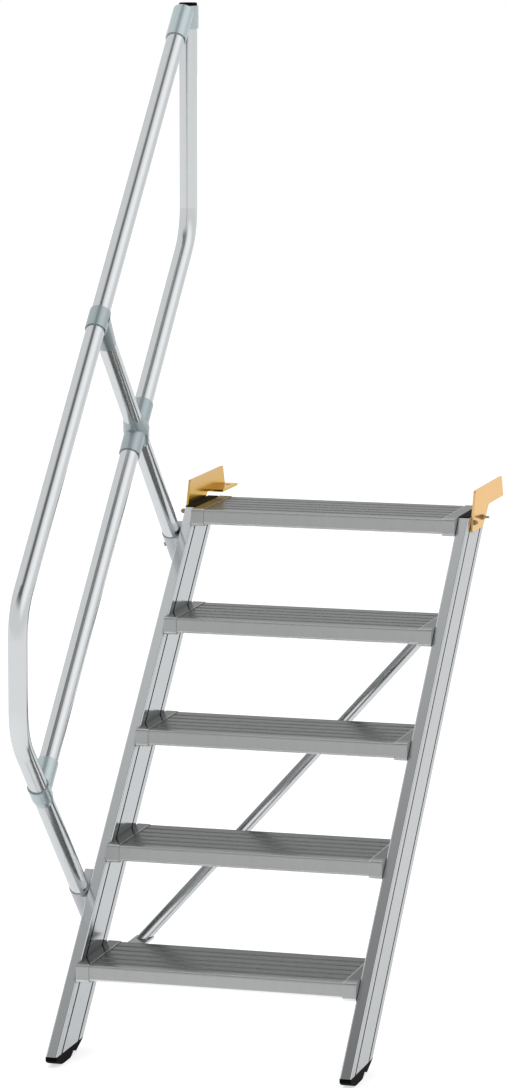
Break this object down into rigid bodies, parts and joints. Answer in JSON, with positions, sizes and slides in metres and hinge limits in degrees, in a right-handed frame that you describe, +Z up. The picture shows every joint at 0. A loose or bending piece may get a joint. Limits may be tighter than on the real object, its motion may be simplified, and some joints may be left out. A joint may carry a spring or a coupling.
{
  "type": "stair with one handrail",
  "caption": "Straight 45 degree aluminium stair with ribbed open treads between two stringers, a diagonal brace, top fixing brackets and a tubular handrail with knee rail on the left.",
  "frame": {"origin": "middle of the underside of the left fixing bracket's tab, just above the level of the top tread's walking face", "axes": "+X to the climber's right, +Y the way the stair climbs, +Z up"},
  "size_m": [0.701, 1.4275, 2.1306],
  "materials": {
    "aluminium": "smooth mill finish",
    "tread_aluminium": "ribbed, satin",
    "rail_aluminium": "smooth, bright satin",
    "connector_casting": "cast, fine blasted",
    "grey_plastic": "moulded, smooth",
    "black_plastic": "moulded, fine grain",
    "yellow_zinc_steel": "yellow passivated zinc"
  },
  "bodies": {
    "root": {"left_stringer": "aluminium", "right_stringer": "aluminium", "left_foot": "black_plastic", "right_foot": "black_plastic", "left_top_plug": "black_plastic", "right_top_plug": "black_plastic", "tread_1": "tread_aluminium", "tread_1_left_cap": "grey_plastic", "tread_1_right_cap": "grey_plastic", "tread_2": "tread_aluminium", "tread_2_left_cap": "grey_plastic", "tread_2_right_cap": "grey_plastic", "tread_3": "tread_aluminium", "tread_3_left_cap": "grey_plastic", "tread_3_right_cap": "grey_plastic", "tread_4": "tread_aluminium", "tread_4_left_cap": "grey_plastic", "tread_4_right_cap": "grey_plastic", "tread_5": "tread_aluminium", "tread_5_left_cap": "grey_plastic", "tread_5_right_cap": "grey_plastic", "top_rail": "rail_aluminium", "knee_rail": "rail_aluminium", "lower_post": "rail_aluminium", "upper_post": "rail_aluminium", "upper_post_extension": "rail_aluminium", "top_connector": "connector_casting", "rail_connector": "connector_casting", "knee_connector": "connector_casting", "lower_connector": "connector_casting", "rail_end_plug": "black_plastic", "lower_post_socket": "connector_casting", "upper_post_socket": "connector_casting", "left_fixing_bracket": "yellow_zinc_steel", "right_fixing_bracket": "yellow_zinc_steel", "diagonal_brace": "aluminium"}
  },
  "joints": []
}
